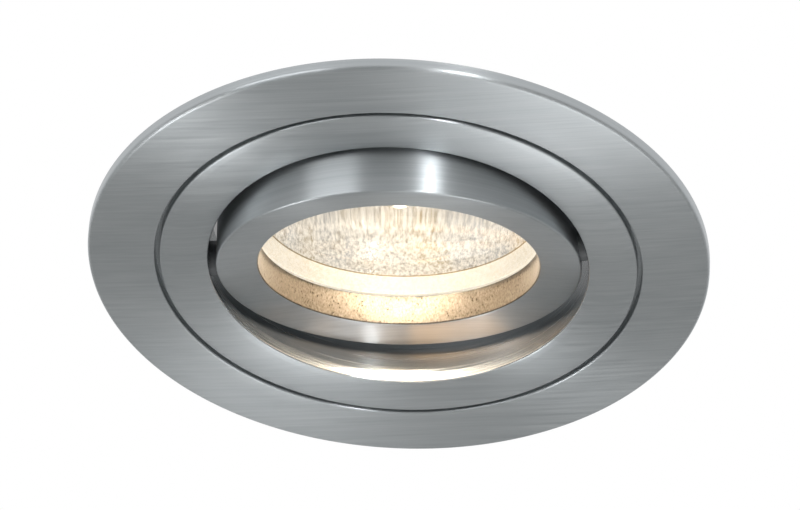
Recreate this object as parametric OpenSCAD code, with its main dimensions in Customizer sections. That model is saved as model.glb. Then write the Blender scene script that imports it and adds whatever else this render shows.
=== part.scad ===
// Recessed tilting downlight for a ceiling or soffit: a brushed bezel, a swivel ring that turns
// in it, a gimbal ring that tilts in the swivel ring, and a 50 mm reflector lamp in the gimbal.
// +Z points up into the ceiling. The origin is the middle of the face that seats on the ceiling.
// The gimbal tilts about X. Its parts are drawn along their own axis, with the pivot at zero,
// and then tilted into place.

/* [Lamp] */
// Diameter of the lamp's rim
lamp_d = 50; // [48:0.25:51]
// Height of the lamp's rim
lamp_rim_h = 3.2; // [2.6:0.1:4]
// Length of the lamp from its front to its base's shoulder
lamp_len = 44.5; // [42:0.5:50]
// Depth of the reflector from its front to its back plate
reflector_depth = 26.2; // [24:0.2:28]
// Thickness of the reflector's wall
reflector_wall = 1.3; // [1:0.1:1.8]
// Thickness of the front glass
glass_t = 1.6; // [1.2:0.1:2]
// Diameter of the quartz capsule
capsule_d = 10; // [9:0.25:10.5]
// Distance from the lamp's front to the capsule's tip
capsule_depth = 5.2; // [4:0.2:9]
// Distance between the two contact pins
pin_pitch = 10; // [9.5:0.25:11]
// Diameter of a contact pin's shank
pin_d = 3; // [2.6:0.1:3.2]
// Diameter of a contact pin's head
pin_head_d = 5; // [4.4:0.1:5.2]
// Length of a contact pin outside the base
pin_len = 7.3; // [6.9:0.1:8]

/* [Gimbal ring] */
// Diameter of the opening in the face
opening_d = 44.4; // [40:0.2:45.4]
// Depth of the bore between the face and the lamp
bore_depth = 4.9; // [4:0.1:6]
// Depth by which the face is dished towards the opening
face_dish = 0.6; // [0.2:0.1:1]
// Clearance between the lamp's rim and its pocket
pocket_gap = 0.4; // [0.2:0.05:0.5]
// Wall outside the lamp pocket
gimbal_wall = 3.4; // [3:0.1:4]
// Wall of the sleeve behind the ring
sleeve_wall = 1.6; // [1.4:0.1:2]
// Height of the ring behind the pivot
ring_behind = 5.9; // [4.5:0.1:6]
// Height of the sleeve behind the pivot
sleeve_behind = 12.6; // [10:0.2:13]
// Distance of the pivot behind the front faces
pivot_depth = 3.4; // [3:0.1:3.6]
// Tilt of the lamp at rest
tilt = 13; // [0:0.5:14]

/* [Swivel ring] */
// Gap between the gimbal ring and the swivel ring
recess_gap = 1.2; // [0.9:0.05:1.6]
// Wall of the collar
collar_wall = 4.8; // [4.4:0.1:6]
// Width of the visible ring outside the collar
ring_lap = 2.9; // [2:0.1:4]
// Thickness of the visible ring
ring_t = 1.7; // [1.4:0.1:2]
// Height by which the middle of the visible ring bulges
ring_crown = 0.25; // [0.1:0.05:0.4]
// Height of the collar above its circlip
collar_rise = 3.5; // [3.1:0.1:6]
// Diameter of a pivot screw's thread
pivot_screw_d = 2.5; // [2:0.1:2.6]
// Diameter of a pivot screw's point
pivot_point_d = 2; // [1.6:0.1:2]
// Depth of a pivot hole in the gimbal ring
pivot_hole = 3; // [2:0.1:3.6]

/* [Bezel] */
// Width of the bezel's visible face
flange_w = 10.6; // [8:0.2:20]
// Thickness of the bezel at its edge
rim_t = 1.9; // [1.6:0.1:2.1]
// Thickness of the bezel at the groove
bezel_t = 2.2; // [2.2:0.05:2.4]
// Width of the groove round the swivel ring
groove_w = 0.7; // [0.4:0.05:1]
// Height of the ledge that carries the swivel ring
ledge_h = 2.45; // [2.3:0.05:3.5]
// Wall of the neck
neck_wall = 3.1; // [3:0.1:4]
// Thickness of the gasket
gasket_t = 0.8; // [0.5:0.1:1]
// Distance from the gasket to the bezel's edge
gasket_edge = 1.8; // [1.2:0.1:3]
// Width of the visible part of the circlip
circlip_show = 1.7; // [1.2:0.1:1.8]
// Thickness of the circlip
circlip_t = 1; // [0.8:0.1:1.2]
// Height taken by the wave washer
wave_h = 0.8; // [0.7:0.05:1]
// Diameter of the stop screw and the stop pin
stop_d = 2; // [1.6:0.1:2.4]

/* [Spring clips] */
// Thickness of the bracket's steel
bracket_t = 1; // [0.8:0.1:1.2]
// Height of the hinge pin above the bracket's base
pin_rise = 5; // [4.6:0.1:6]
// Diameter of the hinge pin
hinge_d = 2.5; // [2:0.1:2.6]
// Width between the bracket's ears
bracket_gap = 10; // [10:0.1:10.6]
// Thickness of the arm's steel
arm_t = 0.8; // [0.6:0.1:1]
// Length of the arm's straight part
arm_len = 24; // [18:0.5:30]
// Length of the arm's bent foot
foot_len = 9.6; // [8:0.2:12]
// Angle of the arm below level at rest
arm_drop = 21.6; // [18:0.2:22]
// Wire of the torsion spring
wire_d = 0.8; // [0.7:0.05:0.9]
// Mean diameter of the torsion spring
coil_d = 4.6; // [4.4:0.1:4.8]
// Distance between two curls of the torsion spring
coil_pitch = 1.3; // [1.25:0.01:1.32]
// Whole curls of the torsion spring
coil_turns = 4; // [2:1:4]
// Thickness of the sleeve on the arm's foot
sleeve_t = 2.6; // [2:0.1:3]

/* [Lampholder] */
// Diameter of the lampholder
holder_d = 27; // [26.6:0.2:34]
// Height of the ceramic body
holder_h = 12; // [12:0.2:16]
// Height of the cover
cover_h = 6.4; // [5.6:0.1:9]
// Wall of the cover
cover_wall = 1.5; // [1.2:0.1:1.8]
// Thickness of the plate that the pins lock behind
lock_plate_t = 2.4; // [2:0.1:2.8]
// Diameter of a wire entry
wire_entry_d = 3.4; // [2.4:0.1:4]
// Angle that the holder turns to release the pins
twist = 38; // [32:1:45]

/* [Hidden] */
$fn = 96;
LEFT = -1;
RIGHT = 1;
brushed_nickel = [0.66, 0.68, 0.70];
spring_steel = [0.55, 0.56, 0.58];
zinc_plate = [0.72, 0.73, 0.75];
black_steel = [0.22, 0.22, 0.24];
steatite = [0.90, 0.88, 0.82];
brass = [0.80, 0.66, 0.36];

// Fits
run_gap = 0.05;  // between faces that turn on each other
turn_gap = 0.08; // round the collar in the bezel
cut = 1;         // how far a cutting solid passes the face it cuts
edge = 0.35;     // rounding of the edges that a hand can reach

// Radii, from the lamp outwards
lamp_r = lamp_d / 2;
pocket_r = lamp_r + pocket_gap;
gimbal_r = pocket_r + gimbal_wall;
rear_r = pocket_r + sleeve_wall;
recess_r = gimbal_r + recess_gap;
collar_r = recess_r + collar_wall;
ring_r = collar_r + ring_lap;
groove_r = ring_r + groove_w;
circlip_r = collar_r + circlip_show;
circlip_bite = 0.95;
circlip_gap = 0.7; // between the circlip and the neck
neck_in_r = circlip_r + circlip_gap;
neck_r = neck_in_r + neck_wall;
bezel_r = groove_r + flange_w;
gasket_gap = 1.5; // from the neck to the gasket
gasket_in_r = neck_r + gasket_gap;
gasket_w = bezel_r - gasket_edge - gasket_in_r;

// Levels above the seat
front_z = -bezel_t;
pivot_z = front_z + pivot_depth;
ring_back_z = front_z + ring_t;
ledge_z = ring_back_z + run_gap;
ledge_top_z = ledge_z + ledge_h;
wave_z = ledge_top_z + run_gap;
circlip_z = wave_z + wave_h + run_gap;
circlip_top_z = circlip_z + circlip_t;
collar_top_z = circlip_top_z + collar_rise;
neck_rise = 0.6; // of the neck over the collar
neck_top_z = collar_top_z + neck_rise;
stop_z = (circlip_top_z + collar_top_z) / 2;

// Levels behind the pivot, along the lamp's axis
face_z = -pivot_depth;
seat_z = face_z + face_dish + bore_depth;
rim_top_z = seat_z + lamp_rim_h;
snap_wire_d = 1.2;
snap_z = rim_top_z + snap_wire_d / 2 + run_gap;
reflector_back_z = seat_z + reflector_depth;
shoulder_z = seat_z + lamp_len;
pin_end_z = shoulder_z + pin_len;

// Points on a quarter or part circle, for the rounded corners of profiles
function arc(centre, r, from, to, n = 3) =
    [for (i = [0:n]) centre + r * [cos(from + (to - from) * i / n), sin(from + (to - from) * i / n)]];

// A closed tube along a path, with sides round a ring
function unit(v) = v / norm(v);
function tangent(path, i) = unit(path[min(i + 1, len(path) - 1)] - path[max(i - 1, 0)]);
function level(t, axis) = unit(cross(axis, t));
module tube(path, d, sides, axis) {
    n = len(path);
    rings = [for (i = [0:n - 1]) let (t = tangent(path, i), a = level(t, axis), b = cross(t, a))
        for (k = [0:sides - 1]) path[i] + d / 2 * (a * cos(360 * k / sides) + b * sin(360 * k / sides))];
    sides_faces = [for (i = [0:n - 2]) for (k = [0:sides - 1]) let (m = (k + 1) % sides)
        each [[i * sides + k, i * sides + m, (i + 1) * sides + m],
              [i * sides + k, (i + 1) * sides + m, (i + 1) * sides + k]]];
    first_end = [for (k = [1:sides - 2]) [0, k + 1, k]];
    last = (n - 1) * sides;
    last_end = [for (k = [1:sides - 2]) [last, last + k, last + k + 1]];
    polyhedron(rings, concat(sides_faces, first_end, last_end));
}

// The least gap of a wound tube to itself: points more than half a turn apart, less the wire
function least_gap(path, apart, d) = min([for (i = [0:len(path) - 1]) for (j = [i + apart:1:len(path) - 1])
    norm(path[i] - path[j])]) - d;

module tilted() translate([0, 0, pivot_z]) rotate([tilt, 0, 0]) children();
module each_side() for (side = [LEFT, RIGHT]) side_of(side) children();
module side_of(side) mirror([side == LEFT ? 1 : 0, 0, 0]) children();

// ---- Bezel: a cast ring with a neck that goes into the ceiling

module bezel() color(brushed_nickel) difference() {
    rotate_extrude() polygon(concat(
        arc([bezel_r - edge * 2, -rim_t + edge * 2], edge * 2, -86, 0),
        [[bezel_r, 0], [gasket_in_r + gasket_w, 0], [gasket_in_r + gasket_w, -gasket_t],
         [gasket_in_r, -gasket_t], [gasket_in_r, 0], [neck_r, 0]],
        arc([neck_r - edge, neck_top_z - edge], edge, 0, 90),
        [[neck_in_r, neck_top_z], [neck_in_r, ledge_top_z], [collar_r + turn_gap, ledge_top_z],
         [collar_r + turn_gap, ledge_z], [groove_r, ledge_z]],
        arc([groove_r + edge, front_z + edge], edge, 180, 272)));
    translate([0, neck_in_r - cut, stop_z]) rotate([-90, 0, 0])
        cylinder(d = stop_d, h = neck_wall + 2 * cut);
    each_side() rivet_places() translate([0, 0, neck_top_z - rivet_depth]) cylinder(d = rivet_d, h = rivet_depth + cut);
}

module ceiling_gasket() color(black_steel) rotate_extrude()
    translate([gasket_in_r, -gasket_t]) square([gasket_w, gasket_t]);

// A headless screw through the neck, flush outside, that the stop pin runs against
stop_reach = circlip_show - 0.3;
module swivel_stop_screw() color(black_steel) difference() {
    translate([0, collar_r + 0.4, stop_z]) rotate([-90, 0, 0])
        cylinder(d = stop_d, h = neck_r - 0.3 - collar_r - 0.4);
    translate([0, neck_r - 1, stop_z]) rotate([-90, 0, 0]) cylinder(d = 0.9, h = 2, $fn = 6);
}

// ---- Swivel ring: the second visible ring, with a collar that turns in the bezel

ring_mid_r = (recess_r + ring_r) / 2;
function crown(r) = front_z - ring_crown * (1 - pow((r - ring_mid_r) / (ring_r - ring_mid_r), 2));
crown_points = [for (i = [1:5]) let (r = recess_r + edge + (ring_r - recess_r - 2 * edge) * i / 6) [r, crown(r)]];
spot_r = 3;                // flat round each pivot, in the recess wall and on the gimbal ring
gimbal_spot_x = gimbal_r - 0.3;
thread_z_gap = 0.02;

module swivel_ring() color(brushed_nickel) difference() {
    rotate_extrude() polygon(concat(
        arc([recess_r + edge, front_z + edge], edge, 180, 265),
        crown_points,
        arc([ring_r - edge, front_z + edge], edge, -85, 0),
        [[ring_r, ring_back_z], [collar_r, ring_back_z], [collar_r, circlip_z - thread_z_gap],
         [collar_r - circlip_bite, circlip_z - thread_z_gap],
         [collar_r - circlip_bite, circlip_top_z + thread_z_gap],
         [collar_r, circlip_top_z + thread_z_gap], [collar_r, collar_top_z], [recess_r, collar_top_z]]));
    each_side() translate([0, 0, pivot_z]) rotate([0, 90, 0]) {
        translate([0, 0, recess_r - cut]) cylinder(r = spot_r, h = cut);
        translate([0, 0, recess_r - cut]) cylinder(d = pivot_screw_d, h = collar_wall + 2 * cut);
    }
    translate([0, -collar_r - cut, stop_z]) rotate([-90, 0, 0]) cylinder(d = stop_d, h = pin_bite + cut);
}

// A thin spring ring in four waves between the ledge and the circlip
wave_t = 0.35;
wave_count = 4;
wave_steps = 48;
wave_swing = (wave_h - wave_t) / 2;
wave_in_r = collar_r + 0.25;
function wave_rise(i) = wave_z + wave_t / 2 + wave_swing * (1 - cos(360 * wave_count * i / wave_steps));
module wave_washer() color(spring_steel) {
    points = [for (i = [0:wave_steps - 1]) let (a = 360 * i / wave_steps, z = wave_rise(i))
        for (p = [[wave_in_r, -1], [circlip_r, -1], [circlip_r, 1], [wave_in_r, 1]])
            [p[0] * cos(a), p[0] * sin(a), z + p[1] * wave_t / 2]];
    faces = [for (i = [0:wave_steps - 1]) for (k = [0:3])
        let (j = (i + 1) % wave_steps, m = (k + 1) % 4)
            each [[i * 4 + k, j * 4 + m, i * 4 + m], [i * 4 + k, j * 4 + k, j * 4 + m]]];
    polyhedron(points, faces);
}

// An outside retaining ring with two plier holes
circlip_open = 24;
lug_r = 1.6;
module circlip() color(black_steel) difference() {
    union() {
        rotate([0, 0, 90 + circlip_open / 2]) rotate_extrude(angle = 360 - circlip_open)
            translate([collar_r - circlip_bite + 0.03, circlip_z])
                square([circlip_r - collar_r + circlip_bite - 0.03, circlip_t]);
        circlip_lugs(lug_r);
    }
    translate([0, 0, -cut]) circlip_lug_holes();
}
lug_place_r = circlip_r - lug_r + 0.1;
module circlip_lugs(r) for (s = [-1, 1]) rotate([0, 0, 90 + s * (circlip_open / 2 + 0.8)])
    translate([lug_place_r + 0.35, 0, circlip_z]) cylinder(r = r * 0.62, h = circlip_t);
module circlip_lug_holes() for (s = [-1, 1]) rotate([0, 0, 90 + s * (circlip_open / 2 + 0.8)])
    translate([lug_place_r + 0.35, 0, circlip_z]) cylinder(r = 0.45, h = circlip_t + 2 * cut);

// A pin in the collar, opposite the stop screw at rest
pin_bite = 2.5;
module swivel_stop_pin() color(spring_steel)
    translate([0, -collar_r - stop_reach, stop_z]) rotate([-90, 0, 0]) cylinder(d = stop_d, h = stop_reach + pin_bite);

// Headless screws, flush in the collar, with a plain point that the gimbal ring turns on
module pivot_screws() color(spring_steel) each_side() translate([0, 0, pivot_z]) rotate([0, 90, 0])
    difference() {
        union() {
            translate([0, 0, recess_r + run_gap]) cylinder(d = pivot_screw_d, h = collar_wall - run_gap - 0.3);
            translate([0, 0, gimbal_r - pivot_hole]) cylinder(d = pivot_point_d, h = recess_r - gimbal_r + pivot_hole + cut);
        }
        translate([0, 0, collar_r - 1.3]) cylinder(d = 1.2, h = 2, $fn = 6);
    }

module friction_washers() color(steatite) each_side() translate([0, 0, pivot_z]) rotate([0, 90, 0])
    difference() {
        translate([0, 0, gimbal_spot_x + run_gap]) cylinder(r = spot_r - 0.2, h = recess_r - gimbal_spot_x - run_gap);
        translate([0, 0, gimbal_spot_x - cut]) cylinder(d = pivot_point_d + 0.1, h = recess_gap + 3 * cut);
    }

// ---- Gimbal ring and the lamp in it

snap_groove_d = snap_wire_d + 0.1;
module gimbal_ring() color(brushed_nickel) tilted() difference() {
    rotate_extrude() polygon(concat(
        arc([opening_d / 2 + edge, face_z + face_dish + edge], edge, 180, 262),
        arc([gimbal_r - edge, face_z + edge], edge, -90, 0),
        arc([gimbal_r - edge, ring_behind - edge], edge, 0, 90),
        [[rear_r, ring_behind], [rear_r, sleeve_behind], [pocket_r, sleeve_behind],
         [pocket_r, seat_z], [opening_d / 2, seat_z]]));
    translate([0, 0, snap_z]) rotate_extrude() translate([pocket_r - 0.1, 0]) circle(d = snap_groove_d, $fn = 24);
    each_side() rotate([0, 90, 0]) {
        translate([0, 0, gimbal_spot_x]) cylinder(r = spot_r, h = 2 * cut);
        translate([0, 0, gimbal_r - pivot_hole - 0.2]) cylinder(d = pivot_point_d + 0.1, h = pivot_hole + cut);
    }
}

// A round-wire snap ring that holds the lamp's rim down on its seat
snap_open = 50;
module lamp_retaining_ring() color(spring_steel) tilted() translate([0, 0, snap_z])
    rotate([0, 0, 90 + snap_open / 2]) rotate_extrude(angle = 360 - snap_open)
        translate([pocket_r - 0.1, 0]) circle(d = snap_wire_d, $fn = 24);

glass_r = lamp_r - 1.5;
glass_sink = 0.25;
module lamp_front_glass() color([0.95, 0.95, 0.92, 0.5]) tilted() rotate_extrude() polygon(concat(
    [[0, seat_z + glass_sink]],
    arc([glass_r - 0.5, seat_z + glass_sink + 0.5], 0.5, -90, 0),
    [[glass_r, seat_z + glass_sink + glass_t], [0, seat_z + glass_sink + glass_t]]));

// The bowl is a paraboloid between the rim and the back plate
bowl_front_r = lamp_r - 1.4;
bowl_back_r = 11.6;
bowl_steps = 9;
throat_r = capsule_d / 2 + 0.5;
function bowl_r(z) = sqrt(pow(bowl_front_r, 2) - (pow(bowl_front_r, 2) - pow(bowl_back_r, 2))
    * (z - rim_top_z) / (reflector_back_z - rim_top_z));
bowl_outside = [for (i = [0:bowl_steps]) let (z = rim_top_z + (reflector_back_z - rim_top_z) * i / bowl_steps)
    [bowl_r(z), z]];
bowl_floor_z = reflector_back_z - reflector_wall;
bowl_start_z = seat_z + glass_sink + glass_t;
bowl_inside = [for (i = [bowl_steps:-1:0])
    let (z = bowl_start_z + (bowl_floor_z - bowl_start_z) * i / bowl_steps)
        [min(bowl_r(z) - reflector_wall, glass_r - 0.6), z]];
module lamp_reflector() color([0.85, 0.78, 0.55]) tilted() rotate_extrude() polygon(concat(
    [[glass_r, seat_z]], arc([lamp_r - 0.5, seat_z + 0.5], 0.5, -90, 0), [[lamp_r, rim_top_z]],
    bowl_outside, [[throat_r, reflector_back_z], [throat_r, bowl_floor_z]], bowl_inside,
    [[glass_r, bowl_start_z]]));

// The ceramic base, with a socket for the capsule and a hollow for the wires
base_front_r = bowl_back_r - 0.2;
base_end_r = 10.4;
base_flat = 15;
base_round_h = 4.8;
socket_depth = 7.7;
base_floor_t = 3;
hollow_r = (pin_pitch + pin_d) / 2 + 0.7;
module lamp_base() color(steatite) tilted() difference() {
    union() {
        translate([0, 0, reflector_back_z]) cylinder(r1 = base_front_r, r2 = base_end_r + 0.3, h = base_round_h);
        intersection() {
            translate([0, 0, reflector_back_z]) cylinder(r = base_end_r, h = shoulder_z - reflector_back_z);
            translate([-lamp_r, -base_flat / 2, reflector_back_z])
                cube([lamp_d, base_flat, shoulder_z - reflector_back_z]);
        }
    }
    translate([0, 0, reflector_back_z - cut]) cylinder(d = capsule_d + 0.1, h = socket_depth + cut);
    translate([0, 0, reflector_back_z + socket_depth - 0.1]) cylinder(r = hollow_r,
        h = shoulder_z - base_floor_t - reflector_back_z - socket_depth + 0.1);
    for (s = [-1, 1]) translate([s * pin_pitch / 2, 0, shoulder_z - base_floor_t - cut])
        cylinder(d = pin_d, h = base_floor_t + 2 * cut);
}

pin_head_h = 2.5;
module lamp_pins() color(zinc_plate) tilted() for (s = [-1, 1]) translate([s * pin_pitch / 2, 0, 0]) {
    translate([0, 0, shoulder_z - base_floor_t - 2]) cylinder(d = pin_d, h = pin_end_z - shoulder_z + base_floor_t + 2);
    translate([0, 0, pin_end_z - pin_head_h]) cylinder(d = pin_head_d, h = pin_head_h);
}

// A quartz bulb, closed at the front, open at the back where the base holds it
capsule_wall = 0.6;
capsule_front_z = seat_z + capsule_depth;
capsule_back_z = reflector_back_z + socket_depth - 0.2;
module capsule_outline(r) {
    z = capsule_front_z + capsule_d / 2;
    intersection() {
        union() {
            translate([0, z]) circle(r = r);
            translate([0, z]) square([r, capsule_back_z - z + (r < capsule_d / 2 ? cut : 0)]);
        }
        translate([0, 0]) square([r, pin_end_z]);
    }
}
module halogen_capsule() color([0.95, 0.95, 0.95, 0.5]) tilted() rotate_extrude() difference() {
    capsule_outline(capsule_d / 2);
    capsule_outline(capsule_d / 2 - capsule_wall);
}

// The tungsten coil runs along the axis between two leads
lead_d = 0.5;
lead_gap = 1.2; // from the capsule's inside to a lead
lead_x = capsule_d / 2 - capsule_wall - lead_gap;
coil_depth = 6.4; // from the capsule's tip to the coil
coil_start_z = capsule_front_z + coil_depth;
lead_past = 0.5; // how far a lead passes the coil's end
lead_end_gap = 0.6; // from a lead to the hollow's floor
filament_turns = 9;
filament_pitch = 1;
filament_wire = 0.34;
filament_r = 1;
curl_rings = 8;
filament_rings = filament_turns * curl_rings;
filament_end_z = coil_start_z + filament_turns * filament_pitch;
filament_path = concat(
    [[filament_r, -2 * filament_wire, coil_start_z], [filament_r, -filament_wire, coil_start_z]],
    [for (i = [0:filament_rings]) let (a = 360 * i / curl_rings)
        [filament_r * cos(a), filament_r * sin(a), coil_start_z + filament_pitch * i / curl_rings]],
    [[filament_r, filament_wire, filament_end_z], [filament_r, 2 * filament_wire, filament_end_z]]);
module filament() color([1, 0.85, 0.6]) tilted() tube(filament_path, filament_wire, 6, [0, 0, 1]);

lead_end_z = shoulder_z - base_floor_t - lead_end_gap;
module lead_wires() color(zinc_plate) tilted() {
    lead(-1, coil_start_z - lead_past, -2 * filament_wire);
    lead(1, filament_end_z + lead_past, 2 * filament_wire);
}
// One lead: up from the pin, then across to an end of the filament
module lead(side, z, y) {
    translate([side * lead_x, y, z]) cylinder(d = lead_d, h = lead_end_z - z);
    translate([side * lead_x, y, z]) sphere(d = lead_d, $fn = 24);
    translate([side * lead_x, y, z]) rotate([0, side * -90, 0]) cylinder(d = lead_d, h = lead_x - side * filament_r);
    translate([filament_r, y, z]) sphere(d = lead_d, $fn = 24);
}

// ---- Lampholder, turned on the lamp's pins and locked

holder_gap = 0.1;
holder_r = holder_d / 2;
holder_z = shoulder_z + holder_gap;
lock_z = holder_z + lock_plate_t;
lock_room = 6.4;
body_top_z = holder_z + holder_h;
slot_w = pin_d + 0.6;
head_hole_d = pin_head_d + 0.6;
head_ring_in_r = (pin_pitch - head_hole_d) / 2 - 0.2;
head_ring_out_r = (pin_pitch + head_hole_d) / 2 + 0.2;
contact_t = 0.4;
contact_w = 4;
contact_z = pin_end_z + 0.1;
tab_x = head_ring_out_r - contact_t - 0.3;
terminal_head_d = 3.6;
terminal_x = tab_x + contact_t + terminal_head_d / 2 + 0.4;
screw_inset = 1.9; // from the cover's wall to a cover screw
cover_screw_y = holder_r - cover_wall - screw_inset;

module holder_body() color(steatite) tilted() difference() {
    translate([0, 0, holder_z]) rotate_extrude() polygon(concat(
        [[0, 0]], arc([holder_r - edge, edge], edge, -90, 0), [[holder_r, holder_h], [0, holder_h]]));
    // ring-shaped room behind the plate, in which the pins' heads turn
    translate([0, 0, lock_z]) rotate_extrude() translate([head_ring_in_r, 0])
        square([head_ring_out_r - head_ring_in_r, lock_room]);
    // a keyhole for each pin: a hole for its head, and a slot for its shank
    for (s = [0, 180]) rotate([0, 0, s]) translate([0, 0, holder_z - cut]) {
        rotate([0, 0, -twist]) rotate_extrude(angle = twist) translate([(pin_pitch - slot_w) / 2, 0])
            square([slot_w, lock_plate_t + 2 * cut]);
        translate([pin_pitch / 2, 0, 0]) cylinder(d = slot_w, h = lock_plate_t + 2 * cut);
        rotate([0, 0, -twist]) translate([pin_pitch / 2, 0, 0]) cylinder(d = head_hole_d, h = lock_plate_t + 2 * cut);
    }
    each_side() {
        translate([tab_x - 0.1, -contact_w / 2 - 0.1, lock_z + cut])
            cube([contact_t + 0.2, contact_w + 0.2, holder_h]);
        translate([terminal_x, 0, body_top_z - terminal_depth]) cylinder(d = terminal_d, h = terminal_depth + cut);
    }
    for (s = [-1, 1]) translate([0, s * cover_screw_y, body_top_z - cover_screw_depth])
        cylinder(d = cover_screw_d, h = cover_screw_depth + cut);
}

terminal_d = 2;
terminal_depth = 2.2;
terminal_head_h = 1.2;
module holder_contacts() color(brass) tilted() each_side() {
    translate([pin_pitch / 2 - 2, -contact_w / 2, contact_z]) cube([tab_x - pin_pitch / 2 + 2, contact_w, contact_t]);
    translate([tab_x, -contact_w / 2, contact_z]) cube([contact_t, contact_w, body_top_z + contact_t - contact_z]);
    difference() {
        translate([tab_x, -contact_w / 2, body_top_z]) cube([terminal_x + 1.3 - tab_x, contact_w, contact_t]);
        translate([terminal_x, 0, body_top_z - cut]) cylinder(d = terminal_d + 0.1, h = 3 * cut);
    }
}

module screw(d, length, head_d, head_h) difference() {
    union() {
        translate([0, 0, -length]) cylinder(d = d, h = length + head_h / 2);
        cylinder(d = head_d, h = head_h);
    }
    translate([-head_d, -0.3, head_h - 0.5]) cube([2 * head_d, 0.6, 1]);
}
module terminal_screws() color(zinc_plate) tilted() each_side()
    translate([terminal_x, 0, body_top_z + contact_t]) rotate([0, 0, 30])
        screw(terminal_d, terminal_depth + contact_t - 0.2, terminal_head_d, terminal_head_h);

cover_top_z = body_top_z + cover_h;
cover_screw_d = 1.8;
cover_screw_depth = 4;
cover_head_d = 3.2;
cover_head_h = 1;
screw_end_gap = 0.3;
entry_x = 4.6;
module holder_cover() color(steatite) tilted() difference() {
    translate([0, 0, body_top_z]) rotate_extrude() polygon(concat(
        [[0, cover_h]], [[0, cover_h - cover_wall], [holder_r - cover_wall, cover_h - cover_wall],
        [holder_r - cover_wall, 0], [holder_r, 0]], arc([holder_r - 1.2, cover_h - 1.2], 1.2, 0, 90)));
    for (s = [-1, 1]) translate([0, s * cover_screw_y, body_top_z]) cylinder(d = cover_screw_d + 0.2, h = 2 * cover_h);
    for (s = [-1, 1]) translate([s * entry_x, 0, body_top_z]) cylinder(d = wire_entry_d, h = 2 * cover_h);
}
module cover_screws() color(zinc_plate) tilted() for (s = [-1, 1])
    translate([0, s * cover_screw_y, cover_top_z]) screw(cover_screw_d, cover_h + cover_screw_depth - screw_end_gap, cover_head_d, cover_head_h);

// ---- Spring clips, drawn on the right and mirrored to the left

hinge_r = hinge_d / 2;
ear_r = 3.1;
ear_gap = 0.3;
ear_flare = 0.3;
hinge_inset = 4.4;             // from the neck's outside to the hinge pin
hinge_x = neck_r - hinge_inset;
hinge_z = neck_top_z + bracket_t + pin_rise;
ear_y = bracket_gap / 2;
rivet_d = 1.6;
bracket_inset = 0.6;            // from the neck's outside to the bracket
rivet_depth = 3;
rivet_head_d = 2.4;
rivet_head_h = 0.8;
rivet_r = neck_r - bracket_inset - rivet_head_d / 2;
rivet_gap = 0.1;
rivet_y = ear_y + bracket_t + rivet_head_d / 2 + rivet_gap;
plate_gap = 0.1;
plate_n = ear_r + plate_gap;          // underside of the arm's plate, above the hinge
stop_u = 2.6;                   // how far out the arm's shoulders rest on the ears
tail_u = 1.5;

module rivet_places() for (s = [-1, 1])
    translate([sqrt(rivet_r * rivet_r - rivet_y * rivet_y), s * rivet_y, 0]) children();
// From here the arm's own axes: along it and square to it, from the hinge
module at_hinge() translate([hinge_x, 0, hinge_z]) children();
module arm_plane() rotate([0, arm_drop, 0]) rotate([90, 0, 0]) children();

// A steel channel: a base riveted on the neck, and two ears that carry the hinge pin
module spring_bracket() {
    difference() {
        intersection() {
            translate([hinge_x - ear_r, -neck_r, neck_top_z]) cube([neck_r, 2 * neck_r, bracket_t]);
            translate([0, 0, neck_top_z]) cylinder(r = neck_r - bracket_inset, h = bracket_t);
            translate([0, -rivet_y - rivet_head_d / 2, neck_top_z])
                cube([neck_r, 2 * rivet_y + rivet_head_d, bracket_t]);
        }
        rivet_places() translate([0, 0, neck_top_z - cut]) cylinder(d = rivet_d, h = bracket_t + 2 * cut);
    }
    for (s = [-1, 1]) translate([0, s > 0 ? ear_y + bracket_t : -ear_y, 0]) difference() {
        at_hinge() rotate([90, 0, 0]) linear_extrude(bracket_t) ear_outline();
        at_hinge() translate([0, cut, 0]) rotate([90, 0, 0]) cylinder(d = hinge_d, h = bracket_t + 2 * cut);
    }
}
// An ear: round about the pin, straight down to the base, with a sloping rest for the arm
module ear_outline() intersection() {
    union() {
        circle(r = ear_r);
        translate([-ear_r, -pin_rise]) square([2 * ear_r, pin_rise]);
        rotate(-arm_drop) square([stop_u, ear_r]);
        polygon([[0, 0], stop_u * [cos(arm_drop), -sin(arm_drop)] + ear_r * [sin(arm_drop), cos(arm_drop)],
            [ear_r + ear_flare, -pin_rise], [0, -pin_rise]]);
    }
    translate([-ear_r, -pin_rise]) square([neck_r - bracket_inset - hinge_x + ear_r, 3 * pin_rise]);
}
module spring_bracket_left() color(zinc_plate) side_of(LEFT) spring_bracket();
module spring_bracket_right() color(zinc_plate) side_of(RIGHT) spring_bracket();

module bracket_rivets() color(spring_steel) each_side() rivet_places() {
    translate([0, 0, neck_top_z - rivet_depth]) cylinder(d = rivet_d, h = rivet_depth + bracket_t);
    translate([0, 0, neck_top_z + bracket_t]) cylinder(d1 = rivet_head_d, d2 = rivet_head_d - 1, h = rivet_head_h);
}

pin_over = 0.7;
module hinge_pin() at_hinge() rotate([90, 0, 0]) {
    cylinder(d = hinge_d, h = bracket_gap + 2 * bracket_t, center = true);
    for (s = [-1, 1]) translate([0, 0, s * (ear_y + bracket_t + pin_over / 2)])
        cylinder(d = hinge_d + 1, h = pin_over, center = true);
}
module hinge_pin_left() color(zinc_plate) side_of(LEFT) hinge_pin();
module hinge_pin_right() color(zinc_plate) side_of(RIGHT) hinge_pin();

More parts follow.
